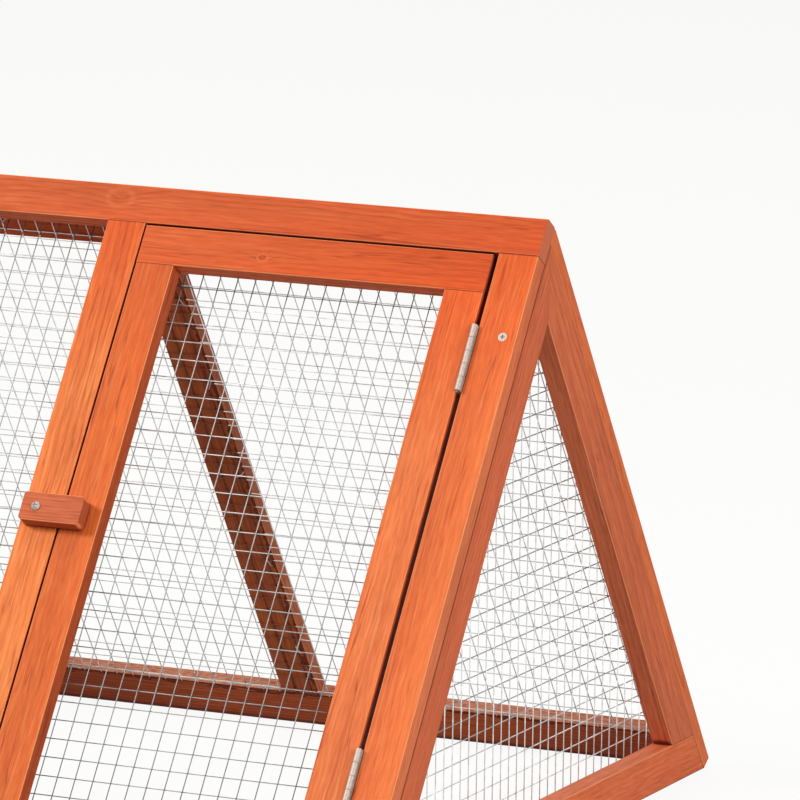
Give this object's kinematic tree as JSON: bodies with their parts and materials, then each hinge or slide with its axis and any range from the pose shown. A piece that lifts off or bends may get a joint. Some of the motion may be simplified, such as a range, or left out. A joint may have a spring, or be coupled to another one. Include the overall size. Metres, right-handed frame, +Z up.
{
  "type": "rabbit hutch with run",
  "caption": "Triangular stained-wood rabbit hutch: an open-bottomed wire run with a hinged door and a boarded sleeping house.",
  "frame": {"origin": "bottom centre of the bounding box, on the ground", "axes": "+X along the ridge towards the run's open end, -Y towards the front with the doors, +Z up"},
  "size_m": [1.18, 0.5671, 0.4175],
  "materials": {
    "stained_wood": "planed softwood with translucent orange-red stain, satin",
    "stained_boards": "planed boards with the same stain, satin",
    "button_wood": "small stained wooden block, edges rounded",
    "mesh_wire": "galvanised welded wire, dull",
    "zinc_steel": "zinc-plated steel hinges and screws"
  },
  "bodies": {
    "frame": {"front_ridge_rail": "stained_wood", "front_bottom_rail": "stained_wood", "front_end_leg": "stained_wood", "front_latch_stile": "stained_wood", "front_partition_stile": "stained_wood", "front_left_leg": "stained_wood", "back_ridge_rail": "stained_wood", "back_bottom_rail": "stained_wood", "back_end_stile": "stained_wood", "back_mid_stile": "stained_wood", "back_partition_stile": "stained_wood", "back_left_stile": "stained_wood", "run_end_front_member": "stained_wood", "run_end_back_member": "stained_wood", "run_end_sill": "stained_wood", "gable_front_member": "stained_wood", "gable_back_member": "stained_wood", "gable_sill": "stained_wood", "partition_sill": "stained_wood", "floor_battens": "stained_wood", "gable_boards": "stained_boards", "partition_side_boards": "stained_boards", "partition_arch_board": "stained_boards", "partition_upper_boards": "stained_boards", "house_back_boards": "stained_boards", "house_floor": "stained_boards", "front_mesh": "mesh_wire", "back_mesh": "mesh_wire", "run_end_mesh": "mesh_wire", "run_frame_hinge_leaves": "zinc_steel", "run_hinge_pins": "zinc_steel", "house_frame_hinge_leaves": "zinc_steel", "house_hinge_pins": "zinc_steel", "button_screws": "zinc_steel", "frame_screws": "zinc_steel"},
    "run_door": {"run_door_top_rail": "stained_wood", "run_door_bottom_rail": "stained_wood", "run_door_hinge_stile": "stained_wood", "run_door_latch_stile": "stained_wood", "run_door_mesh": "mesh_wire", "run_door_hinge_leaves": "zinc_steel"},
    "house_door": {"house_door_top_rail": "stained_wood", "house_door_bottom_rail": "stained_wood", "house_door_hinge_stile": "stained_wood", "house_door_latch_stile": "stained_wood", "house_door_boards": "stained_boards", "house_door_hinge_leaves": "zinc_steel"},
    "run_button": {"run_turn_button": "button_wood"},
    "house_button": {"house_turn_button": "button_wood"}
  },
  "joints": [
    {"name": "run_door_hinge", "type": "hinge", "parent": "frame", "child": "run_door", "pos_m": [0.5605, -0.11833, 0.25392], "axis": [0, 0.5635, 0.8261], "range_deg": [0, 170]},
    {"name": "house_door_hinge", "type": "hinge", "parent": "frame", "child": "house_door", "pos_m": [-0.5605, -0.11833, 0.25392], "axis": [0, -0.5635, -0.8261], "range_deg": [0, 170]},
    {"name": "run_button_turn", "type": "hinge", "parent": "frame", "child": "run_button", "pos_m": [0.29435, -0.13776, 0.22117], "axis": [0, -0.8261, 0.5635], "continuous": true},
    {"name": "house_button_turn", "type": "hinge", "parent": "frame", "child": "house_button", "pos_m": [-0.18355, -0.13776, 0.22117], "axis": [0, -0.8261, 0.5635], "continuous": true}
  ]
}
